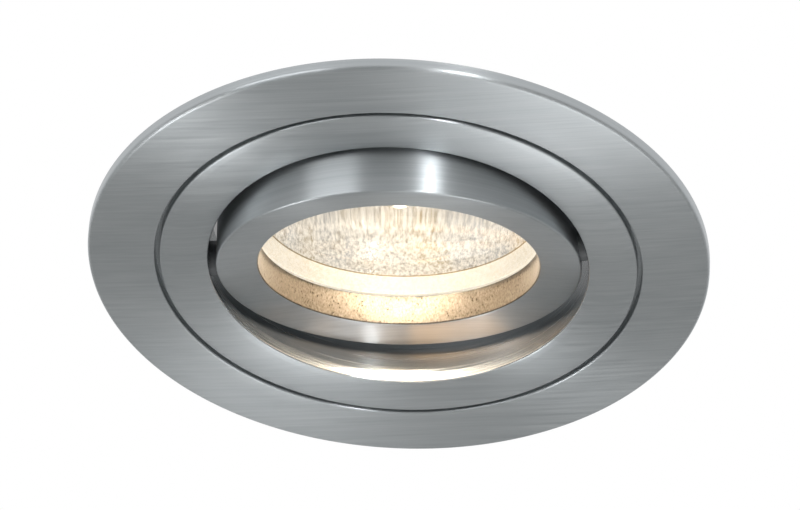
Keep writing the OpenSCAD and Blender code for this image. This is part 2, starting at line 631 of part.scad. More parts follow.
// The arm: a strip with two ears on the hinge pin and shoulders that rest on the bracket's ears
arm_ear_t = arm_t;
arm_half_w = ear_y - ear_gap;
arm_hole_d = hinge_d + 0.1;
foot_bend = 18;
foot_end = [arm_len + foot_len * cos(foot_bend), plate_n - foot_len * sin(foot_bend)];
module arm_strip() polygon([[-tail_u, plate_n], [arm_len, plate_n], foot_end,
    foot_end + arm_t * [sin(foot_bend), cos(foot_bend)],
    [arm_len + arm_t * tan(foot_bend / 2), plate_n + arm_t], [-tail_u, plate_n + arm_t]]);
module arm_ear() difference() {
    union() {
        circle(r = ear_r);
        translate([-tail_u, 0]) square([tail_u + ear_r, plate_n + arm_t / 2]);
    }
    circle(d = arm_hole_d);
}
module clamp_arm() at_hinge() arm_plane() {
    translate([0, 0, -arm_half_w]) linear_extrude(2 * arm_half_w) arm_strip();
    for (s = [-1, 1]) translate([0, 0, s > 0 ? arm_half_w - arm_ear_t : -arm_half_w])
        linear_extrude(arm_ear_t) arm_ear();
    translate([stop_u - 1.6, plate_n, -ear_y - bracket_t]) cube([1.6, arm_t, bracket_gap + 2 * bracket_t]);
}
module clamp_arm_left() color(spring_steel) side_of(LEFT) clamp_arm();
module clamp_arm_right() color(spring_steel) side_of(RIGHT) clamp_arm();

// A soft sleeve over the foot, so that the arm grips without marking
sleeve_len = foot_len - 1.6;
module foot_place() translate(foot_end) rotate(-foot_bend) translate([0, arm_t / 2]) children();
module arm_sleeve() at_hinge() arm_plane() translate([0, 0, -arm_half_w - 1]) difference() {
    linear_extrude(2 * arm_half_w + 2) foot_place() union() {
        translate([-sleeve_len, -sleeve_t / 2]) square([sleeve_len + 0.2, sleeve_t]);
        translate([0.2, 0]) circle(d = sleeve_t);
    }
    translate([0, 0, 1]) linear_extrude(2 * arm_half_w) foot_place()
        translate([-2 * foot_len, -arm_t / 2]) square([2 * foot_len, arm_t]);
}
module arm_sleeve_left() color(black_steel) side_of(LEFT) arm_sleeve();
module arm_sleeve_right() color(black_steel) side_of(RIGHT) arm_sleeve();

// The torsion spring: a foot on the bracket's base, curls round the hinge pin, a leg under the arm
coil_r = coil_d / 2;
coil_sweep = 360 * coil_turns + 90 + arm_drop;
coil_len = coil_pitch * coil_sweep / 360;
coil_rings = ceil(coil_sweep / 360 * curl_rings);
leg_len = 9;
leg_rise = plate_n - wire_d / 2 - 0.1 - coil_r;
leg_start = [coil_r * sin(arm_drop), coil_len / 2, coil_r * cos(arm_drop)];
leg_way = [cos(arm_drop), 0, -sin(arm_drop)];
leg_lift = [sin(arm_drop), 0, cos(arm_drop)];
foot_drop = pin_rise - wire_d / 2 - 0.1;
spring_path = concat(
    [[-coil_r, -coil_len / 2, -foot_drop], [-coil_r, -coil_len / 2, wire_d - foot_drop],
     [-coil_r, -coil_len / 2, -wire_d]],
    [for (i = [0:coil_rings]) let (a = 180 - coil_sweep * i / coil_rings)
        [coil_r * cos(a), coil_len * (i / coil_rings - 0.5), coil_r * sin(a)]],
    [leg_start + wire_d * leg_way, leg_start + (leg_len - wire_d) * leg_way + leg_rise * leg_lift,
     leg_start + leg_len * leg_way + leg_rise * leg_lift]);
module torsion_spring() at_hinge() tube(spring_path, wire_d, 6, [0, 1, 0]);
module torsion_spring_left() color(spring_steel) side_of(LEFT) torsion_spring();
module torsion_spring_right() color(spring_steel) side_of(RIGHT) torsion_spring();

echo(torsion_spring_least_gap = least_gap(spring_path, 6, wire_d));
echo(filament_least_gap = least_gap(filament_path, 6, filament_wire));

bezel();
ceiling_gasket();
swivel_stop_screw();
spring_bracket_left();
spring_bracket_right();
bracket_rivets();
hinge_pin_left();
hinge_pin_right();
torsion_spring_left();
torsion_spring_right();
swivel_ring();
wave_washer();
circlip();
swivel_stop_pin();
pivot_screws();
friction_washers();
gimbal_ring();
lamp_retaining_ring();
lamp_front_glass();
lamp_reflector();
lamp_base();
lamp_pins();
halogen_capsule();
filament();
lead_wires();
holder_body();
holder_cover();
holder_contacts();
terminal_screws();
cover_screws();
clamp_arm_left();
clamp_arm_right();
arm_sleeve_left();
arm_sleeve_right();
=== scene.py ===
"""A recessed tilting downlight with brushed aluminium rings, lit and seated in a white ceiling.

+Z points up into the ceiling, and the origin is the middle of the face that seats on it. Sizes are
in millimetres, turned to metres with MM where they reach Blender.
"""
import math

import bpy
from mathutils import Matrix, Vector


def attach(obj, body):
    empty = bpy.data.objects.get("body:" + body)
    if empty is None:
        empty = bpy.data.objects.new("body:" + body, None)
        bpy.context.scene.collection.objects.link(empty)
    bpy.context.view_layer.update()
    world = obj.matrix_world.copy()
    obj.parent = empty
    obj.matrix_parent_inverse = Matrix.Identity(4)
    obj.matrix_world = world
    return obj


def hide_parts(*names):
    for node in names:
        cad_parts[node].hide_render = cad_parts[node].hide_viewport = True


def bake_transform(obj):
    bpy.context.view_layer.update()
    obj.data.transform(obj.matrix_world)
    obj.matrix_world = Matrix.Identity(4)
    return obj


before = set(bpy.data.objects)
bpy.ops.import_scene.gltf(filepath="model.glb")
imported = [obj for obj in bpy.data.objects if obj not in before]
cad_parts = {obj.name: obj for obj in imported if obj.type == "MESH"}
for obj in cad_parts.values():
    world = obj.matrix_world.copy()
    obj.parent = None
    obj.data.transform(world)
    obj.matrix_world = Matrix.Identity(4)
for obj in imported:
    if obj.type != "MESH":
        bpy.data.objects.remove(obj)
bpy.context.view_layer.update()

# ---- Camera
# A long lens from about a metre away, well below the ceiling and a little to one side, held a few
# degrees off level as the picture is.
MM = 0.001
CAMERA_DISTANCE = 1061
CAMERA_AZIMUTH = math.radians(9.6)
CAMERA_BELOW = math.radians(37.78)
CAMERA_ROLL = math.radians(3.55)
CAMERA_LENS = 303

back = Vector((math.sin(CAMERA_AZIMUTH) * math.cos(CAMERA_BELOW),
               -math.cos(CAMERA_AZIMUTH) * math.cos(CAMERA_BELOW), -math.sin(CAMERA_BELOW)))
level = Vector((math.cos(CAMERA_AZIMUTH), math.sin(CAMERA_AZIMUTH), 0))
upright = back.cross(level)
right = level * math.cos(CAMERA_ROLL) + upright * math.sin(CAMERA_ROLL)
up = back.cross(right)
aim = (0.2 * right + 0.27 * up) * MM
bpy.ops.object.camera_add()
camera = bpy.context.object
camera.name = "camera"
camera.data.lens = CAMERA_LENS
camera.data.clip_start = 0.01
camera.data.clip_end = 30
camera.matrix_world = Matrix.Translation(aim + back * CAMERA_DISTANCE * MM) @ Matrix(
    (right, up, back)).transposed().to_4x4()
bpy.context.scene.camera = camera

# ---- Bezel
# The fixed outer ring: cast aluminium, turned, brushed in straight lines across its face and clear
# lacquered. Its neck goes up through the ceiling's round hole.
BEZEL_R = 49
NECK_R = 40.3
NECK_IN_R = 37.2
NECK_TOP = 8.0
GROOVE_R = 38.4
LEDGE_R = 34.88
LEDGE = -0.45
LEDGE_TOP = 2.0
GASKET_IN_R = 41.8
GASKET_OUT_R = 47.2
GASKET_T = 0.8
FRONT = -2.2
RIM_FRONT = -1.9
EDGE = 0.35
BEZEL_SLOPE = [(41.5, -2.11), (44.5, -2.02)]
STOP_HEIGHT = 5.65
STOP_SCREW_R = 1
NEAR = 0.1


def linear(code):
    """An sRGB hex colour as the linear red, green, blue and alpha that a socket takes."""
    parts = [int(code[i:i + 2], 16) / 255 for i in (1, 3, 5)]
    return [p / 12.92 if p <= 0.04045 else ((p + 0.055) / 1.055) ** 2.4 for p in parts] + [1.0]


def add_node(tree, kind, inputs=(), **settings):
    """Adds a node with its settings, and gives its inputs numbers, colours or links."""
    made = tree.nodes.new(kind)
    for name, value in settings.items():
        setattr(made, name, value)
    for socket, value in dict(inputs).items():
        if isinstance(value, bpy.types.NodeSocket):
            tree.links.new(value, made.inputs[socket])
        else:
            made.inputs[socket].default_value = value
    return made


def arc(radius, height, size, start, end, steps=6):
    """Points on an arc of a profile, about (radius, height), from start to end in degrees."""
    angles = [math.radians(start + (end - start) * i / steps) for i in range(steps + 1)]
    return [(radius + size * math.cos(a), height + size * math.sin(a)) for a in angles]


def turned(name, profile, steps=256, close="bridge"):
    """Carries a profile of (radius, height) points round Z.

    Its last point joins its first by a bridge, or both ends are filled, or it stays an open skin.
    """
    bpy.ops.object.select_all(action="DESELECT")
    radius, height = profile[0]
    bpy.ops.mesh.primitive_circle_add(
        vertices=steps, radius=radius * MM, location=(0, 0, height * MM))
    made = bpy.context.object
    made.name = name
    bpy.ops.object.mode_set(mode="EDIT")
    bpy.ops.mesh.select_mode(type="EDGE")
    bpy.ops.mesh.select_all(action="SELECT")
    for next_radius, next_height in profile[1:]:
        bpy.ops.mesh.extrude_edges_move(
            TRANSFORM_OT_translate={"value": (0, 0, (next_height - height) * MM)})
        share = next_radius / radius
        bpy.ops.transform.resize(value=(share, share, 1), center_override=(0, 0, next_height * MM))
        radius, height = next_radius, next_height
    bpy.ops.mesh.select_all(action="DESELECT")
    bpy.ops.mesh.select_non_manifold()
    if close == "bridge":
        bpy.ops.mesh.bridge_edge_loops()
    elif close == "fill":
        bpy.ops.mesh.fill_holes(sides=0)
    bpy.ops.mesh.select_all(action="SELECT")
    bpy.ops.mesh.normals_make_consistent(inside=False)
    bpy.ops.object.mode_set(mode="OBJECT")
    bpy.ops.object.transform_apply(location=True, rotation=True, scale=True)
    return made


def drill(target, radius, start, end):
    """Cuts a round hole or spot face into target between two points."""
    start, end = Vector(start) * MM, Vector(end) * MM
    bpy.ops.object.select_all(action="DESELECT")
    bpy.ops.mesh.primitive_cylinder_add(
        vertices=64, radius=radius * MM, depth=(end - start).length, location=(start + end) / 2,
        rotation=(end - start).to_track_quat("Z", "Y").to_euler())
    drill_bit = bpy.context.object
    cut = target.modifiers.new("drill", "BOOLEAN")
    cut.operation = "DIFFERENCE"
    cut.solver = "EXACT"
    cut.object = drill_bit
    bpy.context.view_layer.objects.active = target
    bpy.ops.object.modifier_apply(modifier=cut.name)
    bpy.data.objects.remove(drill_bit)


def smooth(piece, degrees=30):
    """Smooth shading, with edges sharper than the angle kept crisp."""
    bpy.ops.object.select_all(action="DESELECT")
    piece.select_set(True)
    bpy.context.view_layer.objects.active = piece
    bpy.ops.object.shade_smooth_by_angle(angle=math.radians(degrees))


def join_frame(piece, body, slot, *nodes):
    """The piece rides on its body and stands for its nodes. The slot is not used."""
    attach(piece, body)
    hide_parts(*nodes)


def brushed_aluminium(name, line_mm, rough, stretch, axis=(0, 0, 1)):
    """Lacquered aluminium off a lathe: it pulls a reflection out across the fine turning marks.

    line_mm is how long the hairlines are along X, Y and Z of the piece. They are really about
    0.05 mm wide and are drawn four times as wide, so that they show at arm's length.
    """
    finish = bpy.data.materials.new(name)
    finish.use_nodes = True
    tree = finish.node_tree
    metal = tree.nodes["Principled BSDF"]
    metal.inputs["Metallic"].default_value = 1.0
    metal.inputs["Anisotropic"].default_value = stretch
    metal.inputs["Anisotropic Rotation"].default_value = 0.25
    place = add_node(tree, "ShaderNodeTexCoord").outputs["Object"]
    tilt = math.atan2(-axis[1], axis[2])
    turn = add_node(tree, "ShaderNodeMapping", {
        "Vector": place, "Rotation": (-tilt, 0, 0)}).outputs[0]
    fine = add_node(tree, "ShaderNodeMapping", {
        "Vector": turn, "Scale": [1 / (size * MM) for size in line_mm]}).outputs[0]
    broad = add_node(tree, "ShaderNodeMapping", {
        "Vector": turn, "Scale": [0.3 / (size * MM) for size in line_mm]}).outputs[0]
    hairline = add_node(tree, "ShaderNodeTexNoise", {
        "Vector": fine, "Scale": 1.0, "Detail": 2.0, "Roughness": 0.6}).outputs["Fac"]
    streak = add_node(tree, "ShaderNodeTexNoise", {
        "Vector": broad, "Scale": 1.0, "Detail": 2.0, "Roughness": 0.5}).outputs["Fac"]
    cloud = add_node(tree, "ShaderNodeTexNoise", {
        "Vector": place, "Scale": 45.0, "Detail": 2.0, "Roughness": 0.5}).outputs["Fac"]
    lines = add_node(tree, "ShaderNodeMath", {0: hairline, 1: streak}, operation="ADD").outputs[0]
    mixed = add_node(tree, "ShaderNodeMath", {0: cloud, 1: 0.8, 2: lines}, operation="MULTIPLY_ADD")
    tone = add_node(tree, "ShaderNodeMapRange", {
        "Value": mixed.outputs[0], "From Min": 1.0, "From Max": 1.8}).outputs[0]
    colour = add_node(tree, "ShaderNodeMix", {
        0: tone, 6: linear("#a6abae"), 7: linear("#b9bdbf")}, data_type="RGBA").outputs[2]
    sheen = add_node(tree, "ShaderNodeMapRange", {
        "Value": lines, "From Min": 0.7, "From Max": 1.3,
        "To Min": rough[0], "To Max": rough[1]}).outputs[0]
    relief = add_node(tree, "ShaderNodeBump", {
        "Height": hairline, "Strength": 0.12, "Distance": 0.01 * MM}).outputs[0]
    round_axis = add_node(tree, "ShaderNodeVectorMath", {
        0: axis, 1: place}, operation="CROSS_PRODUCT").outputs[0]
    along = add_node(tree, "ShaderNodeVectorTransform", {"Vector": round_axis},
                     vector_type="VECTOR", convert_from="OBJECT", convert_to="WORLD").outputs[0]
    tree.links.new(colour, metal.inputs["Base Color"])
    tree.links.new(sheen, metal.inputs["Roughness"])
    tree.links.new(relief, metal.inputs["Normal"])
    tree.links.new(along, metal.inputs["Tangent"])
    return finish


face_brushed = brushed_aluminium("aluminium_brushed_face", (12, 0.2, 0.2), (0.38, 0.46), 0.8)
wall_turned = brushed_aluminium("aluminium_turned_round", (25, 25, 0.2), (0.3, 0.38), 0.85)


def two_finishes(piece, face, wall, axis=Vector((0, 0, 1))):
    """The faces that look along the axis take the first finish, and the walls the second."""
    piece.data.materials.append(face)
    piece.data.materials.append(wall)
    for polygon in piece.data.polygons:
        polygon.material_index = 0 if abs(polygon.normal.dot(axis)) > 0.6 else 1


bezel = turned("bezel_brushed", (
    arc(BEZEL_R - 2 * EDGE, RIM_FRONT + 2 * EDGE, 2 * EDGE, -88, 0, 8)
    + [(BEZEL_R, 0), (GASKET_OUT_R, 0), (GASKET_OUT_R, -GASKET_T), (GASKET_IN_R, -GASKET_T),
       (GASKET_IN_R, 0), (NECK_R, 0)]
    + arc(NECK_R - EDGE, NECK_TOP - EDGE, EDGE, 0, 90)
    + arc(NECK_IN_R + EDGE, NECK_TOP - EDGE, EDGE, 90, 180)
    + [(NECK_IN_R, LEDGE_TOP), (LEDGE_R, LEDGE_TOP), (LEDGE_R, LEDGE), (GROOVE_R, LEDGE)]
    + arc(GROOVE_R + EDGE, FRONT + EDGE, EDGE, 180, 271)
    + BEZEL_SLOPE), steps=360)
drill(bezel, STOP_SCREW_R, (0, NECK_IN_R - 1, STOP_HEIGHT), (0, NECK_R + 1, STOP_HEIGHT))
two_finishes(bezel, face_brushed, wall_turned)
smooth(bezel)
join_frame(bezel, "housing", "brushed_aluminium", "bezel")

# ---- Ceiling gasket
# A flat ring of closed-cell foam rubber, pressed into a channel in the bezel's back, that seals the
# fitting to the ceiling. Matt black, with fine skinned pores.


def grained(name, dark, light, rough, grain_mm, relief_mm, metallic=0.0, stretch=(1, 1, 1),
            clouds=1.0):
    """A finish with an even fine grain: two tones, a range of roughness and a shallow relief.

    grain_mm is the grain as drawn. On metal, rubber and nylon the real one is too fine to show, so
    it is drawn several times coarser. clouds is how strongly broader patches show through it.
    """
    finish = bpy.data.materials.new(name)
    finish.use_nodes = True
    tree = finish.node_tree
    surface = tree.nodes["Principled BSDF"]
    surface.inputs["Metallic"].default_value = metallic
    place = add_node(tree, "ShaderNodeTexCoord").outputs["Object"]
    size = add_node(tree, "ShaderNodeMapping", {
        "Vector": place, "Scale": [1 / (s * grain_mm * MM) for s in stretch]}).outputs[0]
    grain = add_node(tree, "ShaderNodeTexNoise", {
        "Vector": size, "Scale": 1.0, "Detail": 4.0, "Roughness": 0.6}).outputs["Fac"]
    wear = add_node(tree, "ShaderNodeTexNoise", {
        "Vector": size, "Scale": 0.12, "Detail": 2.0, "Roughness": 0.5}).outputs["Fac"]
    both = add_node(tree, "ShaderNodeMath", {
        0: wear, 1: clouds, 2: grain}, operation="MULTIPLY_ADD").outputs[0]
    low, high = 0.25 + clouds / 2, 0.75 + clouds / 2
    tone = add_node(tree, "ShaderNodeMapRange", {
        "Value": both, "From Min": low, "From Max": high}).outputs[0]
    colour = add_node(tree, "ShaderNodeMix", {
        0: tone, 6: linear(dark), 7: linear(light)}, data_type="RGBA").outputs[2]
    roughness = add_node(tree, "ShaderNodeMapRange", {
        "Value": both, "From Min": low, "From Max": high,
        "To Min": rough[0], "To Max": rough[1]}).outputs[0]
    relief = add_node(tree, "ShaderNodeBump", {
        "Height": grain, "Strength": 0.4, "Distance": relief_mm * MM}).outputs[0]
    tree.links.new(colour, surface.inputs["Base Color"])
    tree.links.new(roughness, surface.inputs["Roughness"])
    tree.links.new(relief, surface.inputs["Normal"])
    return finish


def dress(finish, *nodes):
    """Gives CAD nodes a finish."""
    for name in nodes:
        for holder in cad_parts[name].material_slots:
            holder.material = finish


# The skinned foam has pores half a millimetre across, and no shine.
foam_rubber = grained("foam_rubber_black", "#17181a", "#26282b", (0.8, 0.95), 0.5, 0.08)
dress(foam_rubber, "ceiling_gasket")

# ---- Swivel stop screw
# A headless hexagon-socket screw through the neck, that the swivel ring's stop pin runs against.
# Blackened steel, oiled, so it is dark with a dull sheen.
black_steel = grained("steel_blackened_oiled", "#1c1d20", "#303236", (0.32, 0.5), 0.4, 0.01,
                      metallic=0.9)
dress(black_steel, "swivel_stop_screw")

# ---- Spring brackets, rivets and hinge pins
# Each bracket is a folded channel of zinc-plated steel, riveted on the neck's end. A shouldered pin
# through its ears carries the spring and the arm.

# Bright zinc plate: a pale bluish metal with slightly cloudy patches.
zinc_plate = grained("steel_zinc_plated", "#8f949b", "#b4b7b6", (0.28, 0.42), 0.9, 0.01,
                     metallic=1.0)
dress(zinc_plate, "spring_bracket_left", "spring_bracket_right",
      "hinge_pin_left", "hinge_pin_right")
# Rolled and drawn spring steel: plain grey, with faint long roll lines.
spring_steel = grained("spring_steel_rolled", "#74777c", "#93969a", (0.34, 0.46), 0.25, 0.008,
                       metallic=1.0, stretch=(10, 1, 10))
dress(spring_steel, "bracket_rivets")

# ---- Torsion springs
# Round spring wire, wound four times and more round the hinge pin. One end stands on the bracket,
# and the other presses up under the arm, so the coil winds up as the arm folds.
HINGE_X = 35.9
HINGE_Z = 14.0
WIRE_D = 0.8
COIL_R = 2.3
COIL_PITCH = 1.3
ARM_DROP = math.radians(21.6)
COIL_SWEEP = 4 * 2 * math.pi + math.pi / 2 + ARM_DROP
COIL_LENGTH = COIL_PITCH * COIL_SWEEP / (2 * math.pi)
FOOT_DROP = 4.5
LEG_LENGTH = 9
LEG_RISE = 0.4
COIL_STEPS = 130

bpy.ops.object.select_all(action="DESELECT")
bpy.ops.mesh.primitive_circle_add(
    vertices=14, radius=WIRE_D / 2 * MM, location=(-COIL_R * MM, -COIL_LENGTH / 2 * MM, 0))
spring = bpy.context.object
spring.name = "torsion_spring_wound_right"
bpy.ops.object.transform_apply(location=True, rotation=True, scale=True)
coil = spring.modifiers.new("coil", "SCREW")
coil.axis = "Y"
coil.angle = COIL_SWEEP
coil.screw_offset = COIL_LENGTH * MM
coil.steps = coil.render_steps = COIL_STEPS
bpy.ops.object.modifier_apply(modifier=coil.name)


def pull_end(piece, end_y, moves):
    """Draws the open end of a wire at this height on Y out along each move in turn."""
    bpy.context.view_layer.objects.active = piece
    bpy.ops.object.mode_set(mode="EDIT")
    bpy.ops.mesh.select_mode(type="EDGE")
    bpy.ops.mesh.select_all(action="DESELECT")
    bpy.ops.mesh.select_non_manifold()
    bpy.ops.object.mode_set(mode="OBJECT")
    points = piece.data.vertices
    for edge in piece.data.edges:
        middle = sum((points[i].co for i in edge.vertices), Vector()) / 2
        edge.select = edge.select and abs(middle.y - end_y * MM) < WIRE_D * MM
    for point in points:
        point.select = False
    bpy.ops.object.mode_set(mode="EDIT")
    for move in moves:
        bpy.ops.mesh.extrude_edges_move(TRANSFORM_OT_translate={"value": move * MM})
    bpy.ops.object.mode_set(mode="OBJECT")


way = Vector((math.cos(ARM_DROP), 0, -math.sin(ARM_DROP)))
lift = Vector((math.sin(ARM_DROP), 0, math.cos(ARM_DROP)))
pull_end(spring, -COIL_LENGTH / 2, [Vector((0, 0, -FOOT_DROP))])
pull_end(spring, COIL_LENGTH / 2, [
    way * WIRE_D, way * (LEG_LENGTH - 2 * WIRE_D) + lift * LEG_RISE, way * WIRE_D])
bpy.ops.object.mode_set(mode="EDIT")
bpy.ops.mesh.select_all(action="DESELECT")
bpy.ops.mesh.select_non_manifold()
bpy.ops.mesh.fill_holes(sides=0)
bpy.ops.mesh.select_all(action="SELECT")
bpy.ops.mesh.normals_make_consistent(inside=False)
bpy.ops.object.mode_set(mode="OBJECT")
spring.location = (HINGE_X * MM, 0, HINGE_Z * MM)
bpy.ops.object.transform_apply(location=True, rotation=True, scale=True)
smooth(spring, 50)
bpy.ops.object.duplicate()
other_spring = bpy.context.object
other_spring.name = "torsion_spring_wound_left"
other_spring.scale = (-1, 1, 1)
bpy.ops.object.transform_apply(location=True, rotation=True, scale=True)
bpy.ops.object.mode_set(mode="EDIT")
bpy.ops.mesh.select_all(action="SELECT")
bpy.ops.mesh.normals_make_consistent(inside=False)
bpy.ops.object.mode_set(mode="OBJECT")
for piece, side in ((spring, "right"), (other_spring, "left")):
    piece.data.materials.append(spring_steel)
    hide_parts("torsion_spring_" + side)
    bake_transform(piece)

# ---- Clamp arms and their sleeves
# A strip of bright spring steel with a bent foot, which presses down on the ceiling's upper side.
# A soft black rubber sleeve on the foot keeps it from marking.
dress(spring_steel, "clamp_arm_left", "clamp_arm_right")
# Moulded rubber: even black, with a soft low sheen.
sleeve_rubber = grained("rubber_moulded_black", "#131416", "#212326", (0.55, 0.75), 0.35, 0.02)
dress(sleeve_rubber, "arm_sleeve_left", "arm_sleeve_right")

# ---- Swivel ring, its stop pin, wave washer and circlip
# The second ring turns in the bezel on a collar. Cast and brushed as the bezel is, with a slightly
# crowned face and a thin bright lip. A wave washer and a black circlip behind the ledge hold it.
RECESS_R = 30
RING_R = 37.7
COLLAR_R = 34.8
RING_BACK = -0.5
RING_MID_R = (RECESS_R + RING_R) / 2
CROWN = 0.25
CROWN_STEPS = 14
CIRCLIP_LOW = 2.88
CIRCLIP_HIGH = 3.92
CIRCLIP_BITE = 0.95
COLLAR_TOP = 7.4
PIVOT_Z = 1.2
SPOT_R = 3
PIVOT_THREAD_R = 1.25

crown_radii = [RECESS_R + EDGE + (RING_R - RECESS_R - 2 * EDGE) * i / CROWN_STEPS
               for i in range(1, CROWN_STEPS)]
crown = [(r, FRONT - CROWN * (1 - ((r - RING_MID_R) / (RING_R - RING_MID_R)) ** 2))
         for r in crown_radii]
swivel_ring = turned("swivel_ring_brushed", (
    arc(RECESS_R + EDGE, FRONT + EDGE, EDGE, 180, 267)
    + crown
    + arc(RING_R - EDGE, FRONT + EDGE, EDGE, -87, 0)
    + [(RING_R, RING_BACK), (COLLAR_R, RING_BACK), (COLLAR_R, CIRCLIP_LOW),
       (COLLAR_R - CIRCLIP_BITE, CIRCLIP_LOW), (COLLAR_R - CIRCLIP_BITE, CIRCLIP_HIGH),
       (COLLAR_R, CIRCLIP_HIGH)]
    + arc(COLLAR_R - EDGE, COLLAR_TOP - EDGE, EDGE, 0, 90)
    + arc(RECESS_R + EDGE, COLLAR_TOP - EDGE, EDGE, 90, 180)), steps=360)
for side in (-1, 1):
    drill(swivel_ring, SPOT_R, (side * (RECESS_R - 2), 0, PIVOT_Z), (side * RECESS_R, 0, PIVOT_Z))
    drill(swivel_ring, PIVOT_THREAD_R,
          (side * (RECESS_R - 1), 0, PIVOT_Z), (side * (COLLAR_R + 1), 0, PIVOT_Z))
two_finishes(swivel_ring, face_brushed, wall_turned)
# The recess wall is turned smoother than the rest, so it mirrors the lit lamp in a bright strip.
recess_turned = brushed_aluminium("aluminium_turned_recess", (25, 25, 0.2), (0.16, 0.3), 0.5)
swivel_ring.data.materials.append(recess_turned)
for polygon in swivel_ring.data.polygons:
    radius = math.hypot(polygon.center.x, polygon.center.y)
    if radius < (RECESS_R + NEAR) * MM and polygon.material_index == 1:
        polygon.material_index = 2
smooth(swivel_ring)
join_frame(swivel_ring, "swivel", "brushed_aluminium", "swivel_ring")
dress(spring_steel, "swivel_stop_pin", "wave_washer")
dress(black_steel, "circlip")

# ---- Pivot screws and friction washers
# Two headless steel screws in the collar end in plain points that the gimbal turns on. Between the
# rings a nylon washer on each point holds the tilt by friction.
dress(zinc_plate, "pivot_screws")
# Nylon is slightly waxy. It is drawn dark grey as painted shade, for the dark gaps that it sits in.
nylon = grained("nylon_grey_painted_shade", "#3f4143", "#515456", (0.4, 0.55), 0.6, 0.01)
dress(nylon, "friction_washers")

# ---- Gimbal ring
# The inner ring, turned from thick aluminium, with a lightly dished face brushed like the others
# and a smooth turned side. It is made along its own axis and then tilted on the pivots.
TILT = math.radians(13)
OPENING_R = 22.2
POCKET_R = 25.4
GIMBAL_R = 28.8
REAR_R = 27
FACE = -3.4
DISH = 0.6
SEAT = 2.1
SNAP = 5.95
SNAP_R = 0.65
SNAP_SET = 0.1
RING_TOP = 5.9
SLEEVE_TOP = 12.6
GIMBAL_SLOPE = [(24.5, -3.0), (26.5, -3.2)]
SPOT_DEPTH = 0.3
POINT_HOLE_R = 1.05
POINT_HOLE = 3.2


def tilt_into_place(piece):
    """Moves what was made along the lamp's axis, from the pivot, to where it is at rest."""
    bpy.ops.object.select_all(action="DESELECT")
    piece.select_set(True)
    bpy.context.view_layer.objects.active = piece
    piece.matrix_world = Matrix.Translation((0, 0, PIVOT_Z * MM)) @ Matrix.Rotation(TILT, 4, "X")
    bpy.ops.object.transform_apply(location=True, rotation=True, scale=True)


lamp_axis = Vector((0, -math.sin(TILT), math.cos(TILT)))
inner_brushed = brushed_aluminium(
    "aluminium_brushed_face_tilted", (12, 0.2, 0.2), (0.38, 0.46), 0.8, lamp_axis)
side_turned = brushed_aluminium(
    "aluminium_turned_round_tilted", (25, 25, 0.2), (0.3, 0.38), 0.85, lamp_axis)
# The bore in front of the lamp is left as turned: grainy metal whose dark warm brown is painted
# shade tinted by the lamp's gold light.
bore_painted_warm_shade = grained("aluminium_bore_painted_warm_shade", "#463e34", "#736b60", (0.25, 0.36), 0.3, 0.05,
                     metallic=1.0, stretch=(1, 1, 1.6), clouds=0.15)
gimbal_ring = turned("gimbal_ring_brushed", (
    arc(OPENING_R + EDGE, FACE + DISH + EDGE, EDGE, 180, 264)
    + GIMBAL_SLOPE
    + arc(GIMBAL_R - EDGE, FACE + EDGE, EDGE, -91, 0)
    + arc(GIMBAL_R - EDGE, RING_TOP - EDGE, EDGE, 0, 90)
    + [(REAR_R, RING_TOP), (REAR_R, SLEEVE_TOP), (POCKET_R, SLEEVE_TOP)]
    + arc(POCKET_R - SNAP_SET, SNAP, SNAP_R, 81, -81, 8)
    + [(POCKET_R, SEAT), (OPENING_R, SEAT)]), steps=360)
for side in (-1, 1):
    drill(gimbal_ring, SPOT_R,
          (side * (GIMBAL_R - SPOT_DEPTH), 0, 0), (side * (GIMBAL_R + 2), 0, 0))
    drill(gimbal_ring, POINT_HOLE_R,
          (side * (GIMBAL_R - POINT_HOLE), 0, 0), (side * (GIMBAL_R + 1), 0, 0))
tilt_into_place(gimbal_ring)
two_finishes(gimbal_ring, inner_brushed, side_turned, lamp_axis)
gimbal_ring.data.materials.append(bore_painted_warm_shade)
for polygon in gimbal_ring.data.polygons:
    middle = polygon.center - Vector((0, 0, PIVOT_Z * MM))
    radius = (middle - lamp_axis * middle.dot(lamp_axis)).length
    if radius < (OPENING_R + NEAR) * MM and polygon.material_index == 1:
        polygon.material_index = 2
smooth(gimbal_ring)
join_frame(gimbal_ring, "gimbal", "brushed_aluminium", "gimbal_ring")
dress(spring_steel, "lamp_retaining_ring")

# ---- Lamp reflector
# A pressed glass bowl with a dichroic mirror coating: fine dimples inside, which throw warm light
# forward in gold, green and violet flecks, and a smooth coated outside.
# The lit look of the coating is painted on as a glow.
LAMP_R = 25
RIM_TOP = 5.3
BOWL_FRONT_R = 23.6
BOWL_BACK_R = 11.6
BOWL_BACK = 28.3
BOWL_FLOOR = 27.0
BOWL_START = 3.95
BOWL_WALL = 1.3
THROAT_R = 5.5
GLASS_R = 23.5
GLASS_EDGE = 0.5
GLASS_STEP = 0.6
BOWL_STEPS = 40
BAND_TOP = 7.4
BAND_LINE = 0.22


def bowl_radius(height):
    """The outside radius of the bowl, a paraboloid between its rim and its back plate."""
    share = (height - RIM_TOP) / (BOWL_BACK - RIM_TOP)
    return math.sqrt(BOWL_FRONT_R ** 2 - (BOWL_FRONT_R ** 2 - BOWL_BACK_R ** 2) * share)


